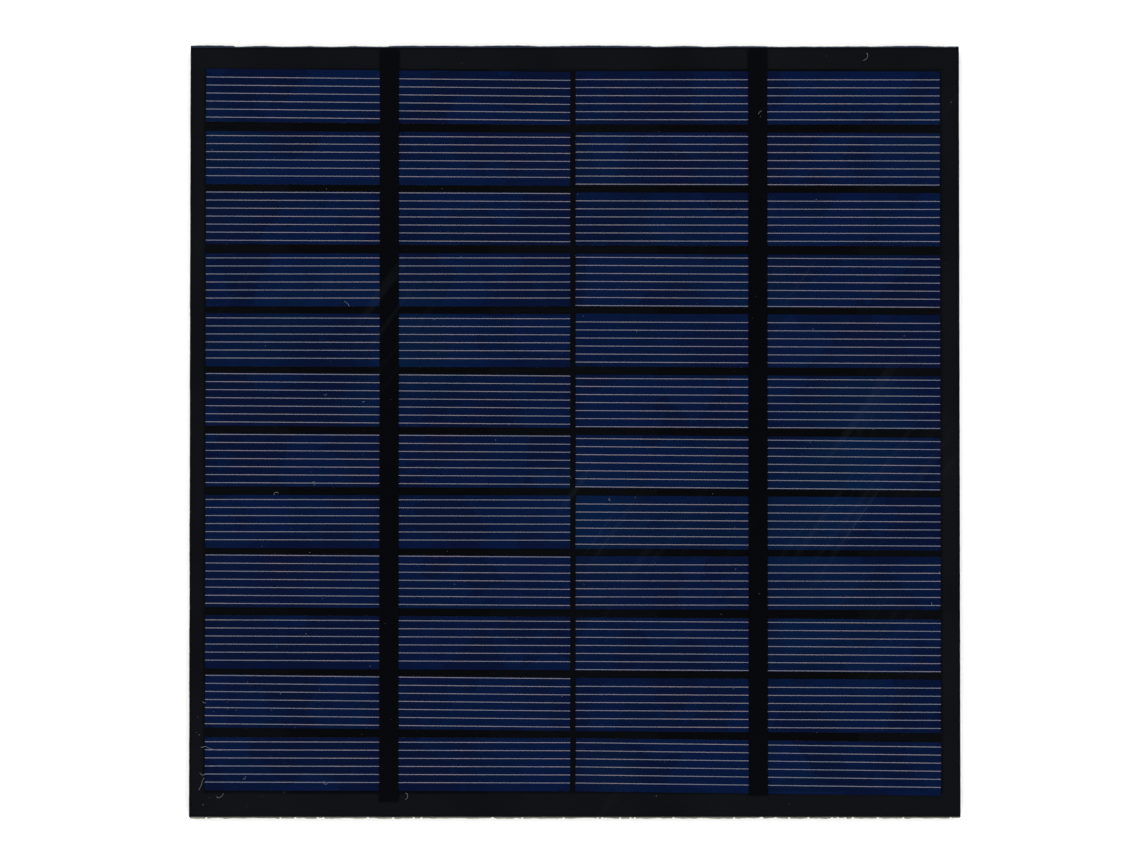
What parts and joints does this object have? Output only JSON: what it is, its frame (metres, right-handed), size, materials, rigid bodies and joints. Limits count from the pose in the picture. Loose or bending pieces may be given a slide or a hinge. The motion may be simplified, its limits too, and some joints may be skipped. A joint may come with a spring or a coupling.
{
  "type": "solar panel",
  "caption": "Small square laminated solar panel with blue polycrystalline cell strips in two strings under a clear film, on a black board with two rear solder terminals.",
  "frame": {"origin": "centre of the back face, which the panel rests on", "axes": "+Z out of the sunny side, +Y towards the edge with the solder terminals, +X to the right seen from the sunny side"},
  "size_m": [0.145, 0.145, 0.003],
  "materials": {
    "clear_film": "clear glossy PET film",
    "encapsulant": "clear cured EVA",
    "cover_strip": "matt black tape",
    "silver_print": "fired silver paste",
    "silicon_cell": "multicrystalline silicon with a deep blue nitride coat",
    "rear_aluminium": "matt fired aluminium paste",
    "tinned_ribbon": "bright tinned copper",
    "solder": "satin solder",
    "copper": "rolled copper foil",
    "glass_fibre": "woven glass and epoxy board, sawn edge",
    "solder_mask": "black semi-gloss solder mask",
    "white_print": "white screen print"
  },
  "bodies": {
    "root": {"front_film": "clear_film", "front_encapsulant": "encapsulant", "rear_encapsulant": "encapsulant", "cover_strip_left": "cover_strip", "cover_strip_right": "cover_strip", "finger_grids_left": "silver_print", "finger_grids_right": "silver_print", "cell_left_01": "silicon_cell", "cell_left_02": "silicon_cell", "cell_left_03": "silicon_cell", "cell_left_04": "silicon_cell", "cell_left_05": "silicon_cell", "cell_left_06": "silicon_cell", "cell_left_07": "silicon_cell", "cell_left_08": "silicon_cell", "cell_left_09": "silicon_cell", "cell_left_10": "silicon_cell", "cell_left_11": "silicon_cell", "cell_left_12": "silicon_cell", "cell_right_01": "silicon_cell", "cell_right_02": "silicon_cell", "cell_right_03": "silicon_cell", "cell_right_04": "silicon_cell", "cell_right_05": "silicon_cell", "cell_right_06": "silicon_cell", "cell_right_07": "silicon_cell", "cell_right_08": "silicon_cell", "cell_right_09": "silicon_cell", "cell_right_10": "silicon_cell", "cell_right_11": "silicon_cell", "cell_right_12": "silicon_cell", "rear_contacts_left": "rear_aluminium", "rear_contacts_right": "rear_aluminium", "link_ribbons_left": "tinned_ribbon", "link_ribbons_right": "tinned_ribbon", "bottom_ribbon_left": "tinned_ribbon", "bottom_ribbon_right": "tinned_ribbon", "positive_lead_ribbon": "tinned_ribbon", "negative_lead_ribbon": "tinned_ribbon", "cross_link_joints": "solder", "lead_joints": "solder", "positive_terminal": "solder", "negative_terminal": "solder", "cross_link_track": "copper", "positive_track": "copper", "negative_track": "copper", "backing_board": "glass_fibre", "front_solder_mask": "solder_mask", "rear_solder_mask": "solder_mask", "polarity_marks": "white_print"}
  },
  "joints": []
}
